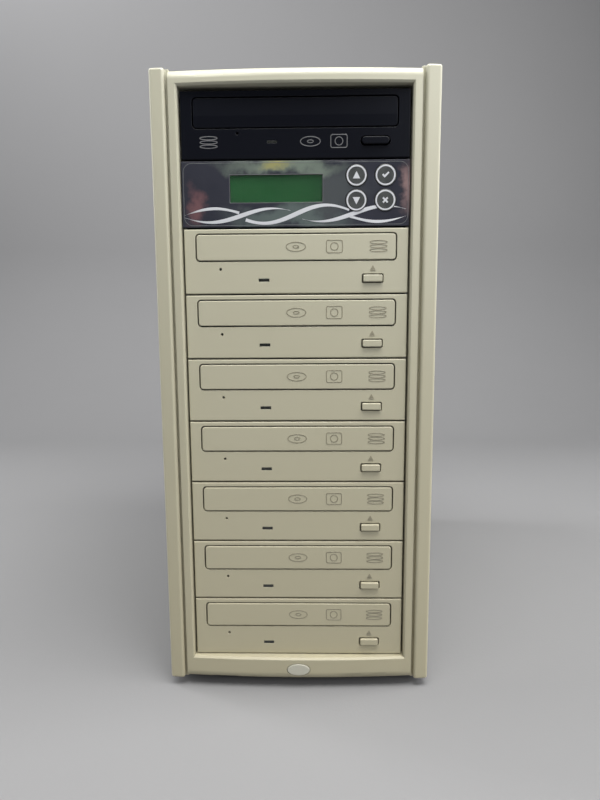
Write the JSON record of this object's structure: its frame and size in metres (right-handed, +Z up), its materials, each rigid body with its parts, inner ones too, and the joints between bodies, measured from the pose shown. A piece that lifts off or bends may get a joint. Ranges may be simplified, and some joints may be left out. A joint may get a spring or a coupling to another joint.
{
  "type": "disc duplicator tower",
  "caption": "Upright disc duplicator: a stack of sliding-tray drives under a reader drive and a control panel, in a beige steel and plastic tower.",
  "frame": {"origin": "on the floor, under the middle of the tower's box", "axes": "+X to the viewer's right, the front faces -Y, +Z up"},
  "size_m": [0.186, 0.3688, 0.4228],
  "materials": {
    "beige_plastic": "fine-textured beige moulding, slightly yellowed",
    "beige_paint": "beige powder coat with a fine orange-peel",
    "black_plastic": "satin black moulding",
    "dark_plastic": "plain black moulding",
    "key_plastic": "glossy dark key with a pale printed ring",
    "fascia_gloss": "mirror-like dark acrylic print",
    "display_gloss": "dark green display glass",
    "lens_black": "smoked lens",
    "drive_steel": "zinc-plated sheet, satin",
    "zinc_steel": "zinc-plated sheet, satin",
    "bright_steel": "bright plated steel",
    "board_green": "green circuit board",
    "foot_rubber": "black rubber"
  },
  "bodies": {
    "tower": {"chassis": "zinc_steel", "outer_cover": "beige_paint", "rear_panel": "zinc_steel", "front_bezel": "beige_plastic", "badge_blank": "beige_plastic", "pillar_left": "beige_plastic", "pillar_right": "beige_plastic", "rubber_feet": "foot_rubber", "control_housing": "dark_plastic", "control_fascia": "fascia_gloss", "lcd_module": "display_gloss", "controller_board": "board_green", "psu_case": "zinc_steel", "power_inlet": "dark_plastic", "fan_frames": "dark_plastic", "fan_guards": "bright_steel", "case_screws": "bright_steel", "loader_decks": "dark_plastic", "disc_spindles": "dark_plastic", "optical_pickups": "zinc_steel", "busy_lenses": "lens_black", "reader_case": "drive_steel", "reader_bezel": "black_plastic", "writer_1_case": "drive_steel", "writer_1_bezel": "beige_plastic", "writer_2_case": "drive_steel", "writer_2_bezel": "beige_plastic", "writer_3_case": "drive_steel", "writer_3_bezel": "beige_plastic", "writer_4_case": "drive_steel", "writer_4_bezel": "beige_plastic", "writer_5_case": "drive_steel", "writer_5_bezel": "beige_plastic", "writer_6_case": "drive_steel", "writer_6_bezel": "beige_plastic", "writer_7_case": "drive_steel", "writer_7_bezel": "beige_plastic"},
    "reader_tray": {"reader_tray": "black_plastic"},
    "reader_eject_button": {"reader_eject_button": "black_plastic"},
    "writer_1_tray": {"writer_1_tray": "beige_plastic"},
    "writer_1_eject_button": {"writer_1_eject_button": "beige_plastic"},
    "writer_2_tray": {"writer_2_tray": "beige_plastic"},
    "writer_2_eject_button": {"writer_2_eject_button": "beige_plastic"},
    "writer_3_tray": {"writer_3_tray": "beige_plastic"},
    "writer_3_eject_button": {"writer_3_eject_button": "beige_plastic"},
    "writer_4_tray": {"writer_4_tray": "beige_plastic"},
    "writer_4_eject_button": {"writer_4_eject_button": "beige_plastic"},
    "writer_5_tray": {"writer_5_tray": "beige_plastic"},
    "writer_5_eject_button": {"writer_5_eject_button": "beige_plastic"},
    "writer_6_tray": {"writer_6_tray": "beige_plastic"},
    "writer_6_eject_button": {"writer_6_eject_button": "beige_plastic"},
    "writer_7_tray": {"writer_7_tray": "beige_plastic"},
    "writer_7_eject_button": {"writer_7_eject_button": "beige_plastic"},
    "key_up": {"key_up": "key_plastic"},
    "key_down": {"key_down": "key_plastic"},
    "key_enter": {"key_enter": "key_plastic"},
    "key_escape": {"key_escape": "key_plastic"},
    "psu_fan_rotor": {"psu_fan_rotor": "dark_plastic"},
    "case_fan_rotor": {"case_fan_rotor": "dark_plastic"},
    "power_rocker": {"power_rocker": "dark_plastic"}
  },
  "joints": [
    {"name": "reader_tray_slide", "type": "slide", "parent": "tower", "child": "reader_tray", "axis": [0, -1, 0], "range_m": [0, 0.132]},
    {"name": "writer_1_tray_slide", "type": "slide", "parent": "tower", "child": "writer_1_tray", "axis": [0, -1, 0], "range_m": [0, 0.132]},
    {"name": "writer_2_tray_slide", "type": "slide", "parent": "tower", "child": "writer_2_tray", "axis": [0, -1, 0], "range_m": [0, 0.132]},
    {"name": "writer_3_tray_slide", "type": "slide", "parent": "tower", "child": "writer_3_tray", "axis": [0, -1, 0], "range_m": [0, 0.132]},
    {"name": "writer_4_tray_slide", "type": "slide", "parent": "tower", "child": "writer_4_tray", "axis": [0, -1, 0], "range_m": [0, 0.132]},
    {"name": "writer_5_tray_slide", "type": "slide", "parent": "tower", "child": "writer_5_tray", "axis": [0, -1, 0], "range_m": [0, 0.132]},
    {"name": "writer_6_tray_slide", "type": "slide", "parent": "tower", "child": "writer_6_tray", "axis": [0, -1, 0], "range_m": [0, 0.132]},
    {"name": "writer_7_tray_slide", "type": "slide", "parent": "tower", "child": "writer_7_tray", "axis": [0, -1, 0], "range_m": [0, 0.132]},
    {"name": "reader_eject_press", "type": "slide", "parent": "tower", "child": "reader_eject_button", "axis": [0, 1, 0], "range_m": [0, 0.001], "stiffness_N_per_m": 1200, "springref_m": -0.0005},
    {"name": "writer_1_eject_press", "type": "slide", "parent": "tower", "child": "writer_1_eject_button", "axis": [0, 1, 0], "range_m": [0, 0.001], "stiffness_N_per_m": 1200, "springref_m": -0.0005},
    {"name": "writer_2_eject_press", "type": "slide", "parent": "tower", "child": "writer_2_eject_button", "axis": [0, 1, 0], "range_m": [0, 0.001], "stiffness_N_per_m": 1200, "springref_m": -0.0005},
    {"name": "writer_3_eject_press", "type": "slide", "parent": "tower", "child": "writer_3_eject_button", "axis": [0, 1, 0], "range_m": [0, 0.001], "stiffness_N_per_m": 1200, "springref_m": -0.0005},
    {"name": "writer_4_eject_press", "type": "slide", "parent": "tower", "child": "writer_4_eject_button", "axis": [0, 1, 0], "range_m": [0, 0.001], "stiffness_N_per_m": 1200, "springref_m": -0.0005},
    {"name": "writer_5_eject_press", "type": "slide", "parent": "tower", "child": "writer_5_eject_button", "axis": [0, 1, 0], "range_m": [0, 0.001], "stiffness_N_per_m": 1200, "springref_m": -0.0005},
    {"name": "writer_6_eject_press", "type": "slide", "parent": "tower", "child": "writer_6_eject_button", "axis": [0, 1, 0], "range_m": [0, 0.001], "stiffness_N_per_m": 1200, "springref_m": -0.0005},
    {"name": "writer_7_eject_press", "type": "slide", "parent": "tower", "child": "writer_7_eject_button", "axis": [0, 1, 0], "range_m": [0, 0.001], "stiffness_N_per_m": 1200, "springref_m": -0.0005},
    {"name": "key_up_press", "type": "slide", "parent": "tower", "child": "key_up", "axis": [0, 1, 0], "range_m": [0, 0.0008], "stiffness_N_per_m": 1200, "springref_m": -0.0005},
    {"name": "key_down_press", "type": "slide", "parent": "tower", "child": "key_down", "axis": [0, 1, 0], "range_m": [0, 0.0008], "stiffness_N_per_m": 1200, "springref_m": -0.0005},
    {"name": "key_enter_press", "type": "slide", "parent": "tower", "child": "key_enter", "axis": [0, 1, 0], "range_m": [0, 0.0008], "stiffness_N_per_m": 1200, "springref_m": -0.0005},
    {"name": "key_escape_press", "type": "slide", "parent": "tower", "child": "key_escape", "axis": [0, 1, 0], "range_m": [0, 0.0008], "stiffness_N_per_m": 1200, "springref_m": -0.0005},
    {"name": "psu_fan_spin", "type": "hinge", "parent": "tower", "child": "psu_fan_rotor", "pos_m": [-0.018, 0.1667, 0.3711], "axis": [0, 1, 0], "continuous": true},
    {"name": "case_fan_spin", "type": "hinge", "parent": "tower", "child": "case_fan_rotor", "pos_m": [0, 0.1667, 0.12], "axis": [0, 1, 0], "continuous": true},
    {"name": "power_rocker_tilt", "type": "hinge", "parent": "tower", "child": "power_rocker", "pos_m": [0.044, 0.1776, 0.3591], "axis": [-1, 0, 0], "range_deg": [0, 16]}
  ]
}
